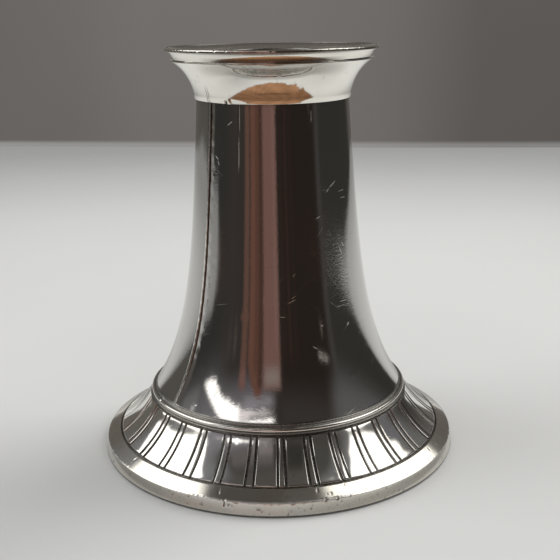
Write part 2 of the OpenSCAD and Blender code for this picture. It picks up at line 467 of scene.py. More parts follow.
def board_material():
    s = shader("closing_board_wood")
    grain = s.stretched(s.place(), 1.0, 0.12)
    n = s.noise(grain, 420.0, 8.0, 0.7, 0.8)
    wave = s.add("TexWave", wave_type="RINGS", Vector=grain, Scale=60.0, Distortion=4.0, Detail=3.0)["Fac"]
    both = s.mul_add(wave, 0.4, s.mul(n, 0.6))
    return s.principled(Base_Color=s.ramp(both, (0.2, (0.10, 0.052, 0.024)), (0.8, (0.27, 0.16, 0.08))),
                        Roughness=s.mul_add(n, 0.3, 0.5), Normal=s.bump(both, 0.4, 0.0001))


def filling_material():
    s = shader("load_filling_pitch")
    place = s.place()
    n = s.noise(place, 140.0, 8.0, 0.6)
    lumps = s.add("TexVoronoi", Vector=place, Scale=520.0)["Distance"]
    both = s.mul_add(lumps, 0.4, s.mul(n, 0.7))
    return s.principled(Base_Color=s.ramp(both, (0.2, (0.035, 0.027, 0.020)), (0.8, (0.12, 0.095, 0.07))),
                        Roughness=s.mul_add(n, 0.3, 0.45), Normal=s.bump(both, 0.5, 0.0002))


BRIGHT = (0.93, 0.915, 0.86)
polished = silver("silver_polished", BRIGHT, 0.07)
chased = silver("silver_chased", (0.90, 0.89, 0.86), 0.07, pits=0.8)
# Old scratches and knocks: angle, height, half length, half width and tilt
COLUMN_SCARS = [
    (-121.5, 84.4, 0.9, 0.17, 35), (-62.6, 85.7, 1.5, 0.14, 88), (-133.0, 76.3, 0.7, 0.15, -40),
    (-131.4, 75.1, 0.6, 0.15, -75), (-46.5, 69.7, 1.6, 0.12, 33), (-51.5, 68.4, 0.7, 0.10, 45),
    (-60.5, 62.4, 0.7, 0.15, 20), (-43.0, 53.5, 1.0, 0.08, -70), (-40.5, 55.0, 0.8, 0.08, -60),
    (-78.9, 49.5, 0.7, 0.10, 60), (-81.0, 43.4, 1.4, 0.12, 27), (-79.6, 44.4, 0.8, 0.09, 35),
    (-86.4, 39.9, 0.8, 0.09, 0), (-63.3, 37.0, 0.4, 0.28, 10), (-44.3, 35.9, 0.7, 0.14, 60),
    (-66.0, 30.9, 1.2, 0.30, -45), (-69.0, 32.2, 0.9, 0.20, -40), (-63.6, 29.2, 0.6, 0.16, -50),
    (-130.4, 18.1, 0.5, 0.16, 30), (-38.0, 67.7, 1.4, 0.06, 3), (-36.5, 66.0, 1.2, 0.06, -2),
    (-48.0, 40.6, 1.5, 0.06, 2), (-46.0, 41.6, 1.2, 0.06, 0), (-121.3, 21.2, 0.8, 0.10, 75),
    (-106.0, 17.8, 1.3, 0.08, 5), (-98.0, 17.7, 1.6, 0.08, 2), (-113.9, 85.5, 3.6, 0.10, 90),
    (-114.4, 77.6, 4.6, 0.13, 90),
]
COLUMN_MEAN_R = 20.0
COLUMN_ROWS = np.linspace(COLUMN_LOW, COLUMN_HIGH, 400)
COLUMN_STEPS = np.hypot(np.diff(column_r(COLUMN_ROWS)), np.diff(COLUMN_ROWS))
COLUMN_ALONG = np.concatenate([[0], np.cumsum(COLUMN_STEPS)])


def column_mark(angle, z, half_long, half_wide, tilt):
    """A scratch on the column, in the millimetres of its turned surface."""
    around = math.radians((angle - (SEAM + SEAM_ANGLE / 2)) % 360) * COLUMN_MEAN_R
    stretch = COLUMN_MEAN_R / float(column_r(z))
    return around, float(np.interp(z, COLUMN_ROWS, COLUMN_ALONG)), half_long * stretch, half_wide, tilt


COLUMN_MARKS = [column_mark(*m) for m in COLUMN_SCARS]
trumpet = silver("silver_trumpet", (0.585, 0.575, 0.56), 0.06, tarnish=0.2, pits=0.12, haze=1.6,
                 marks_at=COLUMN_MARKS)
rim_silver = silver("silver_rim_worn", (0.84, 0.82, 0.765), 0.09, tarnish=0.5, scratch=1.0, pits=1.0)
inner_silver = silver("silver_inside_worn", (0.60, 0.575, 0.52), 0.26, tarnish=0.8, scratch=0.8, pits=0.8)
solder = silver("silver_solder", (0.96, 0.95, 0.92), 0.10, tarnish=0.1, scratch=0.4)


def finish_piece(obj, body, material, slot, *stands_for):
    obj.data.materials.append(material)
    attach(obj, body)
    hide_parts(*stands_for)
    return obj


def turned_piece(name, profile, thetas, shape, *labels, **options):
    """A turned piece. labels are its body, material, slot (not used) and the CAD part that it stands for."""
    points, _ = sweep(profile, thetas, shape, **options)
    return finish_piece(build(name, *points), *labels)


# ---------------------------------------------------------------- foot
def baize():
    rings = np.concatenate([[0], np.linspace(0.7, PAD_R - 0.5, 60), [PAD_R - 0.25, PAD_R - 0.08]])
    under = [(r, 0.0) for r in rings]
    side = [(PAD_R, 0.12), (PAD_R, 0.5), (PAD_R, 0.9), (PAD_R - 0.05, PAD_H - 0.1)]
    over = [(r, PAD_H) for r in (PAD_R - 0.2, PAD_R * 0.66, PAD_R * 0.33, 0.0)]

    def felt(R, Z, T, push, grime_and_shade):
        nap = rng.random(R.shape)
        under_side = Z < 0.02
        Z += under_side * 0.06 * nap * np.clip(R, 0, 1)
        R -= ((Z >= 0.1) & (Z < PAD_H - 0.05) & (R > PAD_R - 0.1)) * 0.12 * nap

    obj = turned_piece("foot_baize", under + side + over, 360, felt, "holder", baize_material(), "baize",
                       "baize_pad", closed=False)


def foot_rim():
    inner = band_face(BAND_WALL, 8)[0]
    corners = [(DISC_R, RIM_LIFT), (FOOT_R, RIM_LIFT), ARRIS, BAND_LOW, inner, (DISC_R, DISC_TOP)]
    pts = rounded(corners, [(ARRIS, 0.14), (BAND_LOW, 0.1), ((FOOT_R, RIM_LIFT), 0.18)], steps=4)
    pts = fine(pts, lambda p: 0.28 if p[0] > 42 and p[1] > 0.35 else 1.2)

    def worn(R, Z, T, push, grime_and_shade):
        outer = (R > 41.6) & (Z > RIM_LIFT + 0.05)
        push += outer * (wobble(T, Z, 0.02, 11) - 0.03)
        # Nicks along the arris, most of them at the front
        from_arris = np.hypot(R - ARRIS[0], Z - ARRIS[1])
        on_arris = bump1(from_arris, 0.5)
        front = np.exp(-((turn_to(T, -92) / 18) ** 2))
        # Painted highlight: the arris is lightened all round as a bright edge line, most at the front; a darker
        # line lies just above it at the front.
        rub_and_highlight = on_arris * (0.35 + 0.45 * front)
        above = bump1(np.hypot(R - ARRIS[0] + 0.26, Z - ARRIS[1] - 0.16), 0.2)
        lay_dark(grime_and_shade, 0.75 * front * above)
        r = np.random.default_rng(31)
        for k in range(230):
            at = r.uniform(-118, -52) if k < 80 else r.uniform(-180, 180)
            w, d = r.uniform(0.12, 0.5), r.uniform(0.008, 0.035)
            here = bump1(round_mm(T, at, R), w)
            push -= d * on_arris * here
            rub_and_highlight = np.maximum(rub_and_highlight, r.uniform(0.5, 1.0) * bump1(from_arris, 0.34) * here)
        # A deeper notch cut down from the arris
        notch = bump1(round_mm(T, -106.3, R), 0.3) * step(Z, 2.0, 2.6) * step(-Z, -3.7, -3.3) * (R > 44.5)
        push -= 0.22 * notch
        lay_dark(grime_and_shade, 0.8 * notch)
        for count, turns, heights, size, depth, dark, seed in (
                (110, (-180, 180), (0.7, 3.0), (0.16, 0.42), (0.02, 0.08), 0.75, 5),
                (26, (-130, -50), (0.7, 3.0), (0.16, 0.36), (0.03, 0.08), 0.85, 6),
                (90, (-180, 180), (3.7, 5.1), (0.14, 0.32), (0.01, 0.04), 0.35, 7)):
            dents(R, Z, T, push, grime_and_shade, count, (turns, heights), size, depth, dark, seed)
        # Painted shade: the upright side is dulled and darkened where it reflects the shaded table near the
        # foot, with a dark line under its lower edge and more shade where the rim meets the band
        side = (R > 44.6) & (Z < 3.2)
        patchy = 0.5 + 0.5 * np.sin(np.radians(T * 5) + 1.0) * np.cos(np.radians(T * 11) + Z)
        lay_dark(grime_and_shade, side * (0.10 + 0.08 * patchy) * step(-Z, -3.3, -2.9))
        lay_dark(grime_and_shade, (R > 43.7) * 0.9 * step(-Z, -0.75, -0.4))
        lay_dark(grime_and_shade, 0.75 * bump1(np.hypot(R - BAND_LOW[0] + 0.15, Z - BAND_LOW[1]), 0.22))
        R[:] = np.minimum(R, FOOT_R - np.maximum(push, 0))
        return rub_and_highlight

    turned_piece("foot_rim_turned", pts, 1400, worn, "holder", rim_silver, "worn_silver", "foot_rim")


def chase_angle(k):
    """Middle of groove pair k: the chaser's spacing drifts a little round the foot."""
    a = FRONT + k * 360.0 / PAIRS
    return a + 0.7 * math.cos(math.radians(3 * (a + 112)))


# Millimetres from a groove's middle line at which it has columns of points
ACROSS = (-0.6, -0.46, -0.38, -0.32, -0.27, -0.22, -0.17, 0, 0.17, 0.22, 0.27, 0.32, 0.38, 0.46, 0.6)


def chased_band():
    rows, base_rows = 64, 400
    even = np.linspace(0, 1, rows + 1)
    # Rows crowd together at both channels
    share = even - 0.13 * np.sin(2 * math.pi * even)
    base = np.array(band_face(0, base_rows))
    outer = np.stack([np.interp(share, np.linspace(0, 1, base_rows + 1), base[:, i]) for i in (0, 1)], -1)
    inner = np.array(band_face(BAND_WALL, 6))[::-1]
    profile = np.concatenate([outer, inner])
    reach = float(np.linalg.norm(BAND_HIGH - BAND_LOW))

    # Each groove's angle, lean, half width and depth differ a little, as in hand work
    r = np.random.default_rng(77)
    grooves = []
    for k in range(PAIRS):
        for side in (-1, 1):
            angle = chase_angle(k) + side * PAIR_ANGLE / 2 + r.uniform(-0.12, 0.12)
            lean, half = r.uniform(-0.16, 0.16), GROOVE_HALF * r.uniform(0.85, 1.25)
            grooves.append((angle, lean, half, GROOVE_DEPTH * r.uniform(0.8, 1.05)))
    grooves.sort()
    following = grooves[1:] + grooves[:1]
    gaps = [(after[0] - groove[0]) % 360 for groove, after in zip(grooves, following)]
    # Columns of points: some across every groove, then some on the panel or rib after it
    columns = []
    for i, gap in enumerate(gaps):
        columns += [(i, x, 0.0) for x in ACROSS]
        parts = 3 if gap < 5 else 10
        columns += [(i, 0.0, j / parts) for j in range(1, parts)]
    rad = profile[:, 0]
    up = np.concatenate([share, np.linspace(1, 0, len(inner))])
    edge = np.degrees(ACROSS[-1] / rad)
    angles = np.zeros((len(profile), len(columns)))
    for v, (i, x, part) in enumerate(columns):
        here = grooves[i][0] + grooves[i][1] * (up - 0.5) * 2
        if part:
            gap = (following[i][0] + following[i][1] * (up - 0.5) * 2 - here) % 360
            angles[:, v] = here + edge + (gap - edge - edge) * part
        else:
            angles[:, v] = here + np.degrees(x / rad)
    ends = np.concatenate([share * reach, np.full(len(inner), -1)])

    def chase(R, Z, T, push, grime_and_shade):
        T[:] = angles
        is_face = (ends >= 0)[:, None]
        s = np.maximum(ends, 0)[:, None]
        sink = np.zeros_like(R)
        for v, (i, x, part) in enumerate(columns):
            if not part:
                half, depth = grooves[i][2:]
                soft_edge = 0.04 * math.exp(-max(0, abs(x) - half) / 0.14)
                sink[:, v] = depth * (1 - step(np.array(abs(x)), half - 0.05, half + 0.17)) + soft_edge
        # The two channels that end the grooves run out to the faces of the rim and the moulding
        soft = 0
        for away, depth, fade in ((s, 0.05, 0.24), (reach - s, 0.085, 0.5)):
            sink = np.maximum(sink, GROOVE_DEPTH * (1 - step(away, CHANNEL - 0.14, CHANNEL + 0.2)))
            soft = soft + depth * np.exp(-np.maximum(0, away - CHANNEL) / fade)
        sink = np.maximum(sink, soft) * step(s, -0.02, 0.12) * step(reach - s, -0.02, 0.12)
        # Hand-worked faces: each panel is a little dished and tips its own way
        tips = np.random.default_rng(404).uniform(-1, 1, (len(grooves), 3))
        w = (s[:, 0] / reach - 0.5) * 2
        for v, (i, x, part) in enumerate(columns):
            if part:
                size = 0.035 if gaps[i] > 5 else 0.012
                q = 2 * part - 1
                sink[:, v] += size * (1 - q * q) * (0.7 * tips[i, 0] * q + 0.3 * tips[i, 1] * w - 0.45)
        push -= is_face * sink
        push += is_face * (wobble(T, Z, 0.008, 3) - 0.012)
        grime_and_shade[:] = is_face * 0.92 * np.clip((sink - 0.07) / 0.15, 0, 1)
        dents(R, Z, T, push, grime_and_shade, 160, ((-180, 180), (5.8, 14)), (0.2, 0.4), (0.006, 0.02), 0.2, 21)

    turned_piece("foot_band_chased", profile, [0.0] * len(columns), chase, "holder", chased, "silver",
                 "chased_band", cut=0.0)


def foot_moulding():
    inner_r = float(column_r(COLUMN_LOW)) - COLUMN_WALL
    low_point = band_face(BAND_WALL, 8)[-1]
    pts = [(inner_r, low_point[1]), low_point, tuple(BAND_HIGH)]
    reeds = (((32.97, 14.63), 0.13, -45, 90), ((32.4, 15.32), 0.56, -60, 110), ((31.7, 16.25), 0.2, -60, 90))
    for centre, radius, start, end in reeds:
        pts += arc(centre, radius, start, end, 14)
    pts.append((inner_r, COLUMN_LOW))
    pts = fine(pts, lambda p: 0.16 if p[0] > inner_r + 0.3 and p[1] > 14.3 else 1.0)

    def worn(R, Z, T, push, grime_and_shade):
        face = (R > inner_r + 0.25) & (Z > 14.45)
        push += face * (wobble(T, Z, 0.02, 9) - 0.015)
        # A blob of solder left on the bead
        x = round_mm(T, -155.0, R)
        push += face * 0.05 * bump1(x, 0.8) * (Z > 14.9)
        push -= face * 0.12 * bump1(x - 0.7, 0.25) * (Z > 14.9)
        dents(R, Z, T, push, grime_and_shade, 60, ((-180, 180), (14.8, 15.9)), (0.2, 0.5), (0.01, 0.04), 0.3, 15)
        # Painted shade in the lines between the reeds, over the upper reed and along the lower edge
        for r0, z0, wide in ((32.98, 14.84, 0.32), (32.15, 15.95, 0.42), (31.45, 16.42, 0.3)):
            lay_dark(grime_and_shade, face * 0.95 * bump1(np.hypot(R - r0, Z - z0), wide))
        lay_dark(grime_and_shade, face * 0.55 * step(Z, 15.9, 16.1))
        lay_dark(grime_and_shade, face * 0.4 * step(-Z, -14.95, -14.8))

    turned_piece("foot_reeded_moulding", pts, 900, worn, "holder", chased, "silver", "foot_moulding")


# ---------------------------------------------------------------- column
def column_sheet(stretches, per):
    """Rows of (r, z) up the outside and inside of the column: per rows outside for each stretch inside."""
    share = np.linspace(0, 1, stretches * per + 1)
    z_out = COLUMN_LOW + (COLUMN_HIGH - COLUMN_LOW) * share**1.35
    z_in = z_out[::per]
    return np.stack([column_r(z_out), z_out], -1), np.stack([column_r(z_in) - COLUMN_WALL, z_in], -1)


def strip_piece(name, outer, inner, thetas, shape, *labels):
    """A piece of sheet that stops short of all the way round, with a closing face at its ends for each stretch.
    shape(R, Z, T, push, grime, face) is told which points are outside."""
    def outside_first(R, Z, T, push, grime_and_shade):
        face = np.zeros(R.shape, bool)
        face[: len(outer)] = True
        return shape(R, Z, T, push, grime_and_shade, face)

    profile = np.concatenate([outer, inner[::-1]])
    cut = float(thetas[0])
    points, index = sweep(profile, thetas, outside_first, ring=False, cut=cut, mean_r=COLUMN_MEAN_R)
    total, per = len(profile), (len(outer) - 1) // (len(inner) - 1)
    for v, way in ((0, -1), (len(thetas) - 1, 1)):
        for j in range(len(inner) - 1):
            around = list(range(j * per, (j + 1) * per + 1)) + [total - 2 - j, total - 1 - j]
            points[1].append([int(index[k, v]) for k in around][::way])
    finish_piece(build(name, *points), *labels)


def column():
    outer, inner = column_sheet(17, 7)
    start, end = SEAM + SEAM_ANGLE / 2, SEAM - SEAM_ANGLE / 2 + 360
    near = np.array([0, 0.12, 0.3, 0.55, 0.85, 1.2, 1.6, 2.1, 2.7, 3.4, 4.0, 4.5, 4.8, 5.1, 5.4, 5.8, 6.3, 7.0,
                     8.0])
    far = np.array([0, 0.12, 0.3, 0.55, 0.9, 1.4, 2.0])
    thetas = np.concatenate([start + near, np.linspace(start + 8.6, end - 2.6, 560), (end - far)[::-1]])

    def sheet(R, Z, T, push, grime_and_shade, face):
        r = column_r(Z)
        push += face * wobble(T, Z, 0.022, 1)
        # The joint leans a little: its sheet edges move round with height
        lean = seam_lean(Z) * np.exp(-np.abs(turn_to(T, SEAM)) / 14.0)
        T += lean
        # The edge on the right of the joint turns in, and the one on the left is only eased
        x = np.radians(T - lean - start) * r
        curl = 1.75 + 0.12 * np.sin(Z * 1.7) + 0.08 * np.sin(Z * 4.3 + 1)
        slope = np.tan(math.radians(8.5))
        inward = np.where(x < curl, (curl - x) * slope, 0)
        ease = np.where(np.abs(x - curl) < 0.12, slope * (0.12 - (x - curl)) ** 2 / 0.48, inward)
        push -= face * ease * (0.15 + 0.85 * step(Z, COLUMN_LOW, COLUMN_LOW + 14))
        left = np.radians(end - (T - lean)) * r
        eased = face & (left >= 0)
        push -= np.where(eased, 0.07 * np.exp(-left / 0.12), 0)
        grime_and_shade[:] = face * 0.75 * np.exp(-np.maximum(x, 0) / 0.12)
        lay_dark(grime_and_shade, np.where(eased, 0.55 * np.exp(-left / 0.08), 0))
        dents(R, Z, T, push, grime_and_shade, 34, ((-141, -136), (24, 88)), (0.3, 0.6), (0.015, 0.05), 0.5, 41)
        dents(R, Z, T, push, grime_and_shade, 60, ((-180, 180), (18, 88)), (0.5, 1.4), (0.008, 0.03), 0.0, 42)
        # Painted shade where the column meets the moulding and the collar
        lay_dark(grime_and_shade, face * 0.85 * step(-Z, -(COLUMN_LOW + 0.35), -(COLUMN_LOW + 0.05)))
        lay_dark(grime_and_shade, face * 0.9 * step(Z, COLLAR_LOW - 0.3, COLLAR_LOW))

    strip_piece("trumpet_column", outer, inner, thetas, sheet, "holder", trumpet, "silver", "column")


def seam_lean(z):
    return 1.5 * np.clip((z - 40) / 48, 0, 1) ** 1.2 - 1.6 * np.clip((40 - z) / 24, 0, 1) ** 1.3


def column_seam():
    outer, inner = column_sheet(60, 4)
    thetas = SEAM + SEAM_ANGLE * np.linspace(-0.95, 0.5, 22)

    def bead(R, Z, T, push, grime_and_shade, face):
        q = (T - SEAM) / (SEAM_ANGLE / 2)
        T += seam_lean(Z)
        ragged = 0.02 * np.sin(Z * 1.3) + 0.012 * np.sin(Z * 3.1 + 2)
        crest = 0.08 * np.sqrt(np.clip(1 - ((q + 0.5) / 1.3) ** 2, 0, 1))
        side = 0.03 + 0.16 * step(q, 0.65, 0.9)
        push -= face * (side + ragged * 0.6 - crest)
        # Darker in the groove beside the bead and over the bead's upper part.
        grime_and_shade[:] = face * np.clip(step(q, 0.7, 0.85) + 0.5 * step(Z, 54, 68), 0, 1)
        dents(R, Z, T, push, grime_and_shade, 30, ((-146, -139), (18, 88)), (0.15, 0.4), (0.01, 0.04), 0.4, 61)
        # Painted highlight: the bead is lightened low down, away from its groove side.
        return face * (1 - step(q, 0.5, 0.7)) * 0.12 * step(-Z, -64, -52)

    strip_piece("column_solder_seam", outer, inner, thetas, bead, "holder", solder, "solder", "column_seam")


# ---------------------------------------------------------------- collar and what is inside it
def collar():
    rim_low = COLLAR_TOP - COLLAR_EDGE
    corners = [(collar_r(z), z) for z in np.linspace(COLLAR_LOW, rim_low, 46)]
    corners += [(COLLAR_RIM_R, rim_low), (COLLAR_RIM_R, COLLAR_TOP), (HOLE_R, COLLAR_TOP), (HOLE_R, SEAT_Z)]
    corners += [(SEAT_R, SEAT_Z), (SEAT_R, COLUMN_HIGH)]
    corners += [(column_r(z), z) for z in np.linspace(COLUMN_HIGH, COLLAR_LOW, 9)]

    def radius(p):
        if p[1] < COLLAR_LOW + 0.01 and p[0] > COLLAR_R - 0.1:
            return 0.22
        return 0.12 if p[1] > rim_low - 0.05 and p[0] > HOLE_R - 0.1 else 0.0

    pts = fine(rounded(corners, radius, steps=4), lambda p: 0.3 if p[0] > HOLE_R - 0.1 or p[1] < 90 else 1.0)

    def worn(R, Z, T, push, grime_and_shade):
        out = R > column_r(np.minimum(Z, COLUMN_HIGH)) + 0.3
        skin = out & (R > HOLE_R - 0.3) | out & (Z < SEAT_Z - 0.9)
        push += skin * (wobble(T, Z, 0.03, 17) - 0.02)
        R -= skin * 0.28 * np.clip(1 - (Z - COLLAR_LOW) / 1.15, 0, 1) ** 1.5
        # The collar's lower edge isn't quite level
        Z += out * 0.07 * np.sin(np.radians(T * 2 + 40)) * step(-Z, -91.5, -88.6)
        # Where its own joint shows: two fine lines above the lower edge
        x = round_mm(T, -140.8, R)
        reach = step(-Z, -93.2, -91.0)
        for at, d, dark in ((-0.42, 0.07, 0.9), (0.30, 0.05, 0.85)):
            line = bump1(x - at - 0.12 * np.sin(Z * 3), 0.2) * reach * skin
            push -= d * line
            lay_dark(grime_and_shade, dark * line)
        # A nick and a blob on the lower edge
        x = round_mm(T, -121.5, R)
        edge = step(-Z, -90.0, -88.9) * skin
        push += 0.16 * bump1(x, 0.9) * edge
        push -= 0.25 * bump1(x + 0.85, 0.5) * edge
        lay_dark(grime_and_shade, 0.9 * bump1(np.hypot(x + 0.8, (Z - 89.2) * 1.2), 0.75) * skin)
        lay_dark(grime_and_shade, 0.5 * bump1(np.hypot(x - 0.6, (Z - 89.0) * 1.4), 0.5) * skin)
        dents(R, Z, T, push, grime_and_shade, 50, ((-180, 180), (89.3, 97)), (0.3, 0.8), (0.006, 0.022), 0.15, 91)
        # Painted shade on the top beside the hole, under the nozzle's ring.
        lay_dark(grime_and_shade, (Z > COLLAR_TOP - 0.2) * 0.8 * step(-R, -23.8, -23.2))
        R[:] = np.minimum(R, np.where(Z > rim_low - 0.1, COLLAR_RIM_R, R))

    turned_piece("flared_collar", pts, 900, worn, "holder", polished, "silver", "collar")


def seat_plate():
    corners = [(SLEEVE_OUT, COLUMN_HIGH), (SEAT_R, COLUMN_HIGH), (SEAT_R, SEAT_Z), (SLEEVE_OUT, SEAT_Z)]
    pts = fine(rounded(corners, 0.08), 0.5)

    def worn(R, Z, T, push, grime_and_shade):
        top = Z > SEAT_Z - 0.1
        push -= top * (0.02 + 0.02 * np.abs(wobble(T, R, 1.0, 23)))
        # Painted shade: darker by the sleeve and by the plate's outer edge.
        grime_and_shade[:] = top * (0.55 * np.exp(-(R - SLEEVE_OUT) / 0.5) + 0.6 * np.exp(-(SEAT_R - R) / 0.6))

    turned_piece("collar_seat_plate", pts, 360, worn, "holder", inner_silver, "worn_silver", "seat_plate")


def sleeve():
    pts = [(0, SLEEVE_LOW), (SLEEVE_OUT, SLEEVE_LOW), (SLEEVE_OUT, SEAT_Z), (SLEEVE_IN, SEAT_Z)]
    pts += [(SLEEVE_IN, SLEEVE_FLOOR), (0, SLEEVE_FLOOR)]
    pts = fine(rounded(pts, 0.12, closed=False), 0.7, closed=False)

    def worn(R, Z, T, push, grime_and_shade):
        inside = (R < SLEEVE_IN + 0.2) & (Z > SLEEVE_FLOOR - 0.05)
        push += inside * (0.01 * np.sin(np.radians(T * 3) + Z * 0.4) - 0.01)
        # Painted shade: darker inside, most near its floor.
        grime_and_shade[:] = inside * (0.25 + 0.6 * np.exp(-(Z - SLEEVE_FLOOR) / 3))

    turned_piece("nozzle_socket_sleeve", pts, 360, worn, "holder", inner_silver, "worn_silver",
                 "nozzle_sleeve", closed=False)


# ---------------------------------------------------------------- nozzle
def seat_ring():
    cavetto = hollow_arc(RING_FOOT, RING_TOP, RING_HOLLOW, 14)
    under = [(r, pan_under(r)) for r in np.linspace(PAN_EDGE_R, BEZEL_IN, 14)]
    corners = [(BEZEL_IN, BEZEL_Z), (BEZEL_OUT, BEZEL_Z), (BEZEL_OUT, RING_FOOT[1])] + cavetto + under
    radii = [((BEZEL_IN, BEZEL_Z), 0.12), ((BEZEL_OUT, BEZEL_Z), 0.15), (RING_FOOT, 0.12), (RING_TOP, 0.06)]
    pts = fine(rounded(corners, radii, steps=4), 0.3)

    def worn(R, Z, T, push, grime_and_shade):
        out = (Z > RING_FOOT[1] - 0.05) & (R > 23.9) & (Z < PAN_EDGE_Z + 0.01)
        push += out * (wobble(T, Z, 0.02, 29) - 0.01)
        Z -= out * (0.13 + 0.09 * np.clip(np.cos(np.radians(T + 165)), 0, 1)) * step(-Z, -99.1, -98.5)
        front = np.clip(np.cos(np.radians(T + 89)) * 6 - 4.3, 0, 1)
        R -= out * 0.25 * (1 - front) * np.clip((99.3 - Z) / 1.1, 0, 1)
        # Darker along the top, and painted shade along the lower edge at the front only.
        grime_and_shade[:] = out * (0.6 * step(Z, 99.9, 100.2) + 0.45 * front * step(-Z, -99.25, -98.9))

    turned_piece("nozzle_seat_ring", pts, 720, worn, "nozzle", polished, "silver", "seat_ring")


def pan_wave(T, R):
    """The pan's edge is a little out of true: it dips at the right."""
    reach = step(R, 21.5, PAN_R)
    dip = 0.10 * np.exp(-((turn_to(T, -18) / 30) ** 2)) + 0.05 * np.exp(-((turn_to(T, -160) / 26) ** 2))
    ripple = 0.012 * np.sin(np.radians(T * 9) + 1) + 0.012 * np.sin(np.radians(T * 16) + 2)
    dip += 0.42 * np.clip(np.sin(np.radians(T)), 0, 1) ** 1.3
    return -(dip + 0.02 + ripple) * reach


def drip_pan():
    r_out = np.linspace(TUBE_OUT, PAN_EDGE_R, 44)
    bottom = [(r, pan_under(r)) for r in r_out[::3]] + [(PAN_EDGE_R, PAN_EDGE_Z)]
    if bottom[-2][0] > PAN_EDGE_R - 0.05:
        bottom.pop(-2)
    pts = np.array(bottom + [(r, pan_under(r) + PAN_WALL) for r in r_out[::-1]])

    def worn(R, Z, T, push, grime_and_shade):
        upper = Z > pan_under(R) + PAN_WALL - 0.05
        push += upper * (wobble(T, R * 2, 0.03, 33) - 0.04)
        Z += pan_wave(T, R) * step(R, 21.5, 24.5)
        # Painted shade: the pan's top is darkened all over, and more towards its edge and beside the tube,
        # which damps its reflections.
        cloudy = 0.5 + 0.5 * np.sin(np.radians(T * 3) + R * 0.5) * np.sin(np.radians(T * 7) - R * 0.9)
        ends = 0.22 * step(R, 22.8, 24.4) + 0.25 * np.exp(-(R - TUBE_OUT) / 0.35)
        grime_and_shade[:] = upper * (0.10 + 0.08 * cloudy + ends)

    turned_piece("nozzle_drip_pan", pts, 720, worn, "nozzle", polished, "silver", "drip_pan")


def pan_rim():
    pts = [(PAN_EDGE_R, PAN_EDGE_Z)] + arc((PAN_R - 0.13, PAN_EDGE_Z + 0.1), 0.1, -90, 0, 5)
    pts += arc((PAN_R - 0.40, PAN_TOP - 0.36), 0.36, 12, 90, 14) + [(PAN_EDGE_R, PAN_TOP)]
    pts = fine(rounded(pts, lambda p: 0.06 if p[0] < PAN_EDGE_R + 0.01 else 0.0), 0.2)

    def worn(R, Z, T, push, grime_and_shade):
        out = R > PAN_EDGE_R + 0.1
        push += out * (wobble(T, Z, 0.02, 37) - 0.03)
        Z += pan_wave(T, R)
        r = np.random.default_rng(38)
        for _ in range(120):
            at, w, d = r.uniform(-180, 180), r.uniform(0.2, 0.5), r.uniform(0.015, 0.06)
            z0 = PAN_EDGE_Z + r.uniform(0.2, 0.8)
            x = round_mm(T, at, R)
            push -= out * d * bump1(np.hypot(x, (Z - z0) * 0.8), w)
        # Painted shade: darker just above the lower edge, over the inner side, and along the inner top of the
        # rolled wire.
        grime_and_shade[:] = out * 0.35 * step(-Z, -(PAN_EDGE_Z + 0.25), -(PAN_EDGE_Z + 0.02))
        lay_dark(grime_and_shade, ~out * 0.6)
        lay_dark(grime_and_shade, (Z > PAN_EDGE_Z + 0.5) * 0.95 * step(-R, -(PAN_R - 0.42), -(PAN_R - 0.52)))

    turned_piece("nozzle_rolled_rim", pts, 1100, worn, "nozzle", polished, "silver", "pan_rim")


def socket_tube():
    pts = rounded([(TUBE_IN, TUBE_LOW), (TUBE_OUT, TUBE_LOW), (TUBE_OUT, TUBE_TOP), (TUBE_IN, TUBE_TOP)],
                  lambda p: 0.28 if p[1] > TUBE_LOW + 1 else 0.1, steps=5)
    pts = fine(pts, lambda p: 0.3 if p[1] > TUBE_TOP - 1.5 else 1.0)

    def worn(R, Z, T, push, grime_and_shade):
        inside = R < TUBE_IN + 0.15
        mouth = Z > TUBE_TOP - 0.6
        push += mouth * (wobble(T, Z, 0.015, 47) - 0.015)
        push -= (inside & ~mouth) * 0.006 * (1 + np.sin(np.radians(T * 4) + Z * 0.3))
        # Painted shade: darker inside, most low down, over the top millimetre of the mouth, which damps its
        # glints, and outside where the tube meets the pan.
        grime_and_shade[:] = inside * (0.15 + 0.5 * step(-Z, -95, -80))
        lay_dark(grime_and_shade, (Z > TUBE_TOP - 1.0) * 0.6)
        pan_top = PAN_Z + PAN_WALL
        lay_dark(grime_and_shade, (~inside & (Z > pan_top - 0.1)) * 0.6 * step(-Z, -(pan_top + 0.2), -pan_top))

    turned_piece("nozzle_candle_tube", pts, 480, worn, "nozzle", polished, "silver", "socket_tube")


def tube_floor():
    pts = [(0, FLOOR_LOW), (TUBE_OUT, FLOOR_LOW), (TUBE_OUT, TUBE_LOW), (0, TUBE_LOW)]
    pts = fine(rounded(pts, 0.2, closed=False), 0.6, closed=False)

    def worn(R, Z, T, push, grime_and_shade):
        top = Z > TUBE_LOW - 0.05
        push -= top * (0.02 + 0.015 * np.sin(R * 2.2))
        # Painted shade: darker all over, most towards the tube's wall.
        grime_and_shade[:] = top * (0.3 + 0.6 * step(R, 9, TUBE_IN))

    turned_piece("nozzle_tube_floor", pts, 240, worn, "nozzle", inner_silver, "worn_silver",
                 "socket_floor", closed=False)


baize()
foot_rim()
chased_band()
foot_moulding()
column()
column_seam()
collar()
seat_plate()
sleeve()
seat_ring()
drip_pan()
pan_rim()
socket_tube()
tube_floor()

# The board and the filling keep their CAD shape
for name, made in (("closing_disc", board_material()), ("load_filling", filling_material())):
    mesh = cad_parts[name].data
    mesh.materials.clear()
    mesh.materials.append(made)


# ---------------------------------------------------------------- stage
def srgb(c):
    c = np.array(c, float) / 255
    return np.where(c <= 0.04045, c / 12.92, ((c + 0.055) / 1.055) ** 2.4)


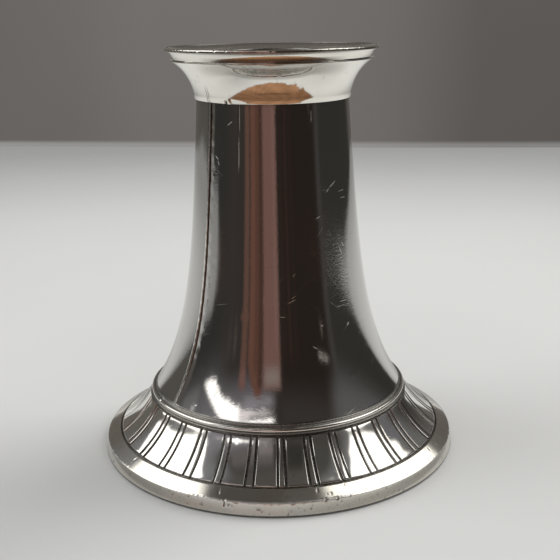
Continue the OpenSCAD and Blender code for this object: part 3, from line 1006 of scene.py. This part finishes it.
def stage_mesh(name, xyz, faces, material, colours):
    mesh = bpy.data.meshes.new(name)
    mesh.from_pydata(xyz, [], faces)
    mesh.polygons.foreach_set("use_smooth", np.ones(len(mesh.polygons), bool))
    a = mesh.color_attributes.new("glow", "FLOAT_COLOR", "POINT")
    a.data.foreach_set("color", np.array(colours, np.float32).ravel())
    mesh.materials.append(material)
    obj = bpy.data.objects.new(name, mesh)
    bpy.context.scene.collection.objects.link(obj)
    return obj


def grid_faces(nu, nv, wrap):
    last = nv if wrap else nv - 1
    return [[u * nv + v, u * nv + (v + 1) % nv, (u + 1) * nv + (v + 1) % nv, (u + 1) * nv + v]
            for u in range(nu - 1) for v in range(last)]


def glow_material(name):
    s = shader(name)
    s.owner.cycles.emission_sampling = "NONE"
    glow = s.add("Attribute", attribute_name="glow")
    light = s.add("Emission", glow["Color"])[0]
    return s.surface(s.add("MixShader", glow["Alpha"], s.add("BsdfTransparent")[0], light)[0])


def between(x, a, b, soft):
    return step(x, a - soft, a + soft) * (1 - step(x, b - soft, b + soft))


def room_light(az, el):
    """What the silver sees of the room, by direction. az is 0 towards the camera and grows to the right."""
    c = np.broadcast_to(srgb((66, 62, 60)), az.shape + (3,)).copy()

    def lay(mask, colour, gain=1.0):
        nonlocal c
        c = c * (1 - mask[..., None]) + srgb(colour) * gain * mask[..., None]

    def side(low, high, soft):
        return between(az, low, high, soft)

    def band(low, high, soft):
        return between(el, low, high, soft)

    def above(start, end):
        return step(el, start, end)

    def below(start, end):
        return 1 - step(el, start, end)

    up = above(0, 30)
    # Walls: lighter at the sides than in front, and lighter higher up
    lay(side(-60, -20, 14) * 0.7, (62, 57, 54))
    lay(side(2, 62, 6), (48, 41, 37))
    lay(side(2, 62, 6) * above(14, 36), (67, 63, 60))
    lay(side(2, 30, 5) * above(37, 46), (52, 50, 47))
    lay(side(30, 60, 6) * above(37, 46), (70, 69, 66))
    lay(side(-150, -66, 14) * (1 - up), (58, 57, 55))
    lay(side(-150, -62, 14) * up, (118, 118, 120))
    lay(side(-160, -104, 6) * band(-10, 14, 6) * 0.8, (104, 101, 96))
    lay(side(62, 140, 8) * (1 - up), (60, 58, 55))
    lay(side(62, 150, 8) * above(4, 26), (104, 103, 102))
    lay(step(np.abs(az), 132, 150), (100, 96, 92))
    lay(step(np.abs(az), 164, 170) * below(10, 20), (142, 137, 132))
    # The ceiling is dull
    lay(above(58, 72), (78, 75, 72))
    # A soft glow under the bright gap, and a lighter wall at the right
    lay(side(-78, -14, 14) * above(11, 27) * below(38, 52) * 0.8, (128, 125, 131))
    lay(side(-52, -3, 4) * band(43, 60, 7) * 0.8, (100, 96, 95))
    lay(side(-24, -3, 2) * band(40, 50, 4) * 0.6, (132, 124, 124))
    lay(side(-100, -84, 3) * band(14, 24, 3) * 0.4, (150, 150, 152))
    lay(side(-36, -5, 5) * band(25.5, 31.5, 2.5) * 0.7, (168, 164, 170))
    lay(side(56, 96, 8) * above(10, 27) * 0.8, (108, 107, 108))
    # Warm upright stripes in front, as of a person's hands and clothes
    lay(side(-41, -34.6, 0.7) * below(19, 23), (114, 86, 75))
    lay(side(-41, -34.6, 0.7) * band(14, 21, 2), (133, 100, 92))
    arch = 26.5 - 0.11 * (az + 21) ** 2
    lay(side(-32.8, -16.8, 0.9) * below(arch - 1.5, arch + 1.0), (118, 84, 72))
    lay(side(-32, -27, 1.4) * below(4, 12) * 0.5, (124, 88, 74))
    lay(side(-26.5, -22, 1.0) * below(14, 18) * 0.8, (100, 72, 62))
    lay(side(-21.5, -16.5, 1.4) * below(20, 24) * 0.85, (74, 55, 48))
    lay(side(-15.8, 2.8, 0.7) * below(22, 24.5), (132, 101, 93))
    lay(side(-14, 1.5, 3) * band(15, 21.5, 2.5) * 0.75, (158, 146, 141))
    lay(side(-2.5, 0.5, 0.8) * below(4, 12) * 0.5, (148, 118, 110))
    lay(side(-58, -54, 1.5) * band(1, 9, 3) * 0.2, (104, 98, 96))
    lay(side(-50.5, -47.5, 1.0) * band(2, 9, 3) * 0.45, (112, 100, 96))
    lay(side(8, 9.5, 0.6) * below(8, 16) * 0.7, (66, 50, 46))
    lay(side(14, 16.5, 0.8) * below(8, 16) * 0.8, (68, 50, 46))
    lay(side(21, 23, 0.8) * below(8, 16) * 0.5, (60, 46, 42))
    lay(side(61, 67, 1.5) * below(6, 16) * 0.35, (92, 90, 90))
    # A long ragged bright gap that climbs from the left to the middle, where it splits in two
    rag = 0.6 * np.sin(az * 0.42 + 1) + 0.4 * np.sin(az * 0.95 + el * 0.4) + 0.2 * np.sin(az * 2.3 - el)
    across = [-79, -76, -72, -68, -64, -60, -56, -52, -48, -44, -40, -36, -32, -28, -24, -4]
    low_edge = [13.6, 12.8, 12.8, 14.8, 17.6, 20.6, 23.0, 25.0, 26.4, 27.4, 28.8,
                30.0, 30.2, 30.4, 31.4, 32.2]
    high_edge = [14.4, 16.6, 20.0, 23.8, 27.6, 31.2, 33.2, 34.6, 36.4, 37.6, 39.0]
    under = np.interp(az, across, low_edge)
    over = np.interp(az, across[:11] + [-4], high_edge + [39.6])
    gap = band(under + rag, over + rag * 0.4, 0.9) * side(-79, -5, 2.6)
    lay(gap * (1 - step(az, -42, -36)), (255, 253, 250), 2.2)
    lay(gap * step(az, -44, -38) * above(36.6, 37.8), (255, 253, 250), 2.2)
    fade = np.interp(az, [-40, -32, -24, -16, -12, -8, -4], [1.0, 0.9, 0.72, 0.72, 0.6, 0.38, 0.1])
    lay(side(-40, -3.5, 1.5) * band(under + 1.2, 35.0, 0.9) * fade, (250, 243, 241), 1.3)
    lay(side(-40, -30, 3) * band(34.5, 38, 1.0) * 0.8, (240, 235, 234), 1.3)
    lay(side(-90, -86, 1.2) * band(20.5, 23, 1.0) * 0.7, (240, 238, 236))
    # Tall windows at the left and at the right
    sill = np.interp(az, [-130, -120, -110, -100, -90, -80, -70], [14, 12, 15, 22.0, 25.5, 28, 30])
    head = np.interp(az, [-131, -126, -121, -116, -110, -104, -98, -90, -80, -74, -69],
                     [43, 51, 56, 61, 64, 65, 63, 60, 51, 45, 34])
    edge = -128.5 + 0.55 * np.clip(34 - el, 0, 24) - 0.35 * np.clip(el - 34, 0, 12)
    lay(step(az, edge - 1.5, edge + 1.5) * (1 - step(az, -72, -68)) * above(sill - 1, sill + 1.5)
        * below(head - 1.5, head + 1.5), (255, 254, 250), 1.8)
    sill = np.interp(az, [66, 70, 80, 90, 95, 102, 108, 114, 120, 128, 136],
                     [32, 31, 28.5, 27, 30, 31.5, 30.5, 36, 35, 31, 27.5])
    head = np.interp(az, [64, 70, 76, 84, 94, 100, 103, 108, 114, 120, 126, 132, 137],
                     [44, 49, 57, 64, 67, 70, 76, 75, 68, 60, 51, 42, 33])
    lay(side(67, 135.5, 2.0) * above(sill - 1.5, sill + 2) * below(head - 2, head + 2),
        (255, 253, 248), 1.8)
    lay(side(68, 82, 4) * band(67, 72, 2) * 0.6, (210, 208, 206))
    lay(side(94, 118, 5) * band(16, 30, 4) * 0.5, (104, 104, 112))
    # Small lamps
    lay(side(46, 57, 1.2) * band(9.2, 9.9, 0.4), (230, 222, 214))
    lay(side(52.2, 53.6, 0.6) * band(2.2, 3.4, 0.5) * 0.7, (200, 190, 180))
    # Behind the object: soft panels that only the far sides see
    lay(between(np.abs(az), 142, 160, 6) * band(38, 62, 6), (222, 222, 222))
    return c


def room():
    az = np.radians(np.arange(-180, 180, 0.6))
    el = np.radians(np.concatenate([np.arange(-14, 60, 0.6), np.arange(60, 90.1, 2.0)]))
    E, A = np.meshgrid(el, az, indexing="ij")
    far = 3.0
    points = grid_points(far * np.sin(A) * np.cos(E), -far * np.cos(A) * np.cos(E), far * np.sin(E) + 0.04)
    light = room_light(np.degrees(A), np.degrees(E))
    glossy_card("studio_room", points, light, np.ones_like(A), A.shape, "room_glow")


def table_front(x):
    """How far in front of the object the table ends, in millimetres, at each x."""
    at = [-1100, -620, -330, -279, -186, -127, -86, -54, -20, 0, 23, 48, 81, 129, 210, 325, 420]
    reach = [70, 82, 150, 137, 118, 106, 96, 85, 76, 72, 74, 78, 89, 109, 137, 176, 205]
    return np.interp(x, at, reach)


def grid_points(X, Y, Z):
    return np.stack([X, Y, Z], -1).reshape(-1, 3).tolist()


def glossy_card(name, points, c, alpha, grid, glow):
    """A glowing surface that only the silver sees."""
    colours = np.concatenate([c.reshape(-1, 3), alpha.reshape(-1, 1)], 1)
    obj = stage_mesh(name, points, grid_faces(*grid, True), glow_material(glow), colours)
    obj.visible_camera = obj.visible_diffuse = obj.visible_shadow = obj.visible_transmission = False
    obj.visible_volume_scatter = False


def beyond_table():
    """A card that only the silver sees: the dark surroundings beyond the edges of the table, and a painted
    contact shade round the foot.
    """
    az = np.arange(-180, 180, 1.0)
    r = np.geomspace(48, 1160, 190)
    Rr, A = np.meshgrid(r, az, indexing="ij")
    X, Y = Rr * np.sin(np.radians(A)), -Rr * np.cos(np.radians(A))
    ripple = 1.5 * np.sin(X * 0.21) + 0.9 * np.sin(X * 0.57 + 1)
    front = step(-Y - table_front(X) - ripple, -1.5, 3.0 + 0.02 * Rr)
    right = step(X - np.interp(Y, [-200, 30, 100, 290, 500], [520, 480, 425, 402, 400]), -8, 26)
    left = step(-X - 860, -120, 160)
    back = step(Y - 590, -50, 60)
    alpha = 1 - (1 - front) * (1 - right) * (1 - left) * (1 - back)
    near, mid, far = srgb((160, 120, 90)), srgb((128, 94, 70)), srgb((84, 62, 48))
    c = np.broadcast_to(near, X.shape + (3,)).copy()
    c = c + (mid - near) * step(Rr, 110, 190)[..., None]
    c = c + (far - mid) * step(Rr, 210, 380)[..., None]
    dark_line = between(Y, -178, -160, 6) * between(X, -60, 70, 14) * 0.45
    c = c * (1 - dark_line[..., None])
    mottle = 1 + 0.10 * np.sin(X * 0.10 + Y * 0.05) + 0.06 * np.sin(X * 0.31 - Y * 0.17)
    c = c * mottle[..., None]
    k = np.maximum(step(Rr, 420, 760), 1 - between(A, -84, 70, 6) * front)[..., None]
    c = c * (1 - k) + room_light(A, np.zeros_like(X)) * k
    # Painted contact shade: a darker ring on the card round the foot, wider behind, so the silver reflects
    # shade near it.
    fade = 16 + 90 * step(np.abs(A), 70, 130)
    painted_contact_shade = 0.5 * (1 - step(Rr, 50, 50 + fade)) * (1 - front)
    c = c * (1 - painted_contact_shade[..., None]) + srgb((104, 101, 96)) * painted_contact_shade[..., None]
    alpha = np.maximum(alpha, painted_contact_shade)
    points = grid_points(X * MM, Y * MM, np.full_like(X, 0.00004))
    glossy_card("beyond_table", points, c, alpha, X.shape, "card_glow")


def painted_table_light(r, angle):
    """Painted light on the table: it falls off with distance, and more so at the right and behind."""
    behind = r * (math.cos(angle) + math.sin(angle))
    return (1.0 - 0.50 * float(step(r, 0.16, 0.62))) * (1 - 0.22 * float(step(behind, 0.2, 0.8)))


def table():
    s = shader("studio_paper")
    paper = s.ramp(s.noise(s.place(), 9.0, 2.0), (0.3, (0.70, 0.70, 0.69)), (0.7, (0.725, 0.725, 0.715)))
    # The paper's colour is multiplied by the painted light that the mesh carries.
    colour = s.mix(1.0, paper, s.painted("glow", "Color"), "MULTIPLY")
    material = s.principled(Base_Color=colour, Roughness=0.95, Specular_IOR_Level=0.1)
    rings = np.concatenate([[0.02], np.geomspace(0.03, 1.15, 30)])
    seg = 96
    around = [(r, x) for r in rings for x in np.arange(seg) * 2 * math.pi / seg]
    xyz = [(r * math.cos(x), r * math.sin(x), -0.00002) for r, x in around]
    faces = grid_faces(len(rings), seg, True) + [list(range(seg))[::-1]]
    painted_light = [painted_table_light(r, x) for r, x in around]
    stage_mesh("studio_floor", xyz, faces, material, [(v, v, v, 1.0) for v in painted_light])


def rounded_square(half, corner, steps, yaw):
    """Points round a square with round corners, steps to each side."""
    core = half - corner
    plan = []
    for quarter in range(4):
        turn_by = yaw - math.pi / 2 * quarter
        c, s = math.cos(turn_by), math.sin(turn_by)
        for q in np.radians(np.linspace(-45, 45, steps + 1)[:-1]):
            x, y = half * math.tan(q), half
            if abs(x) > core:
                # On a round corner, the ray from the middle ends where it meets the arc
                ux, uy = math.sin(q), math.cos(q)
                reach = ux * math.copysign(core, x) + uy * core
                dist = reach + math.sqrt(max(0, reach * reach - 2 * core * core + corner * corner))
                x, y = ux * dist, uy * dist
            plan.append((x * c - y * s, x * s + y * c))
    return plan


def painted_wall_glow(x, y, z):
    """The backdrop's glow, with light and shade painted in: the table's tone at its foot, then the wall, darker
    at the right and lighter higher up.
    """
    tone = 103
    if y > 0.2:
        across = [-0.30, -0.17, -0.11, 0, 0.1, 0.17, 0.30]
        tone = float(np.interp(x, across, [101, 105, 112, 114, 107, 92, 88]))
    wall = srgb((tone, tone - 4, tone - 7)) * (1.0 + 0.10 * min(1.0, z / 0.2))
    foot = srgb((146, 145, 143)) * (1 - 0.2 * float(step(x, 0.02, 0.2)))
    mix = float(step(z, 0.0006, 0.0034))
    return (*(foot * (1 - mix) + wall * mix), 1.0)


def backdrop():
    s = shader("studio_wall")
    s.owner.cycles.emission_sampling = "NONE"
    mottle = s.ramp(s.noise(s.place(), 5.0, 2.0), (0.3, 0.97), (0.7, 1.03))
    tint = s.mix(1.0, s.painted("glow", "Color"), mottle, "MULTIPLY")
    # The backdrop glows with no lamp: its emission paints the wall's light and shade.
    material = s.surface(s.add("Emission", tint)[0])
    cove = 0.05
    bend = np.radians(np.concatenate([np.arange(0, 24, 1.5), np.arange(24, 91, 6)]))
    path = [(cove * math.sin(q) - cove, cove - cove * math.cos(q)) for q in bend]
    path += [(0.0, z) for z in (0.07, 0.1, 0.15, 0.2, 0.3, 0.4, 0.6, 0.9, 1.3)]
    plan = rounded_square(0.580, 0.26, 60, math.radians(-7.65))
    xyz, colours = [], []
    for out, z in path:
        for x, y in plan:
            k = 1 + out / math.hypot(x, y)
            xyz.append((x * k, y * k, z - 0.00001))
            colours.append(painted_wall_glow(x, y, z))
    obj = stage_mesh("studio_backdrop", xyz, grid_faces(len(path), len(plan), True), material, colours)
    obj.visible_diffuse = obj.visible_glossy = obj.visible_shadow = obj.visible_transmission = False


def area(name, place, target, size, power, colour=(1, 1, 1)):
    light = bpy.data.lights.new(name, "AREA")
    light.shape, light.size, light.size_y = "RECTANGLE", size[0], size[1]
    light.energy, light.color = power, colour
    obj = bpy.data.objects.new(name, light)
    bpy.context.scene.collection.objects.link(obj)
    obj.location = place
    obj.rotation_euler = (Vector(target) - Vector(place)).to_track_quat("-Z", "Y").to_euler()
    obj.visible_glossy = False


def lights():
    scene = bpy.context.scene
    s = Shader(bpy.data.worlds.new("studio_world"))
    s.add("OutputWorld", s.add("Background", (1.0, 0.995, 0.985), 0.45)[0])
    scene.world = s.owner
    area("window_right", (0.9, 0.5, 0.9), (0, 0, 0), (0.9, 0.9), 11.0, (1.0, 0.995, 0.98))
    area("window_left", (-1.0, 0.1, 0.8), (0, 0, 0), (0.8, 0.8), 5.0, (0.98, 0.99, 1.0))
    scene.view_settings.view_transform = "Standard"
    scene.view_settings.look = "None"


def camera():
    cam = bpy.data.cameras.new("photo_camera")
    cam.sensor_width, cam.lens = 36.0, 61.71
    cam.clip_start, cam.clip_end = 0.01, 20.0
    obj = bpy.data.objects.new("photo_camera", cam)
    bpy.context.scene.collection.objects.link(obj)
    yaw, pitch, roll = 0.00424, 0.27929, -0.01747
    ahead = Vector((math.sin(yaw) * math.cos(pitch), math.cos(yaw) * math.cos(pitch), -math.sin(pitch)))
    right = Vector((math.cos(yaw), -math.sin(yaw), 0))
    up = right.cross(ahead)
    right2 = right * math.cos(roll) + up * math.sin(roll)
    up2 = right * -math.sin(roll) + up * math.cos(roll)
    obj.matrix_world = Matrix((
        (right2.x, up2.x, -ahead.x, 0.0),
        (right2.y, up2.y, -ahead.y, -0.23682),
        (right2.z, up2.z, -ahead.z, 0.11027),
        (0, 0, 0, 1)))
    bpy.context.scene.camera = obj


room()
beyond_table()
table()
backdrop()
lights()
camera()
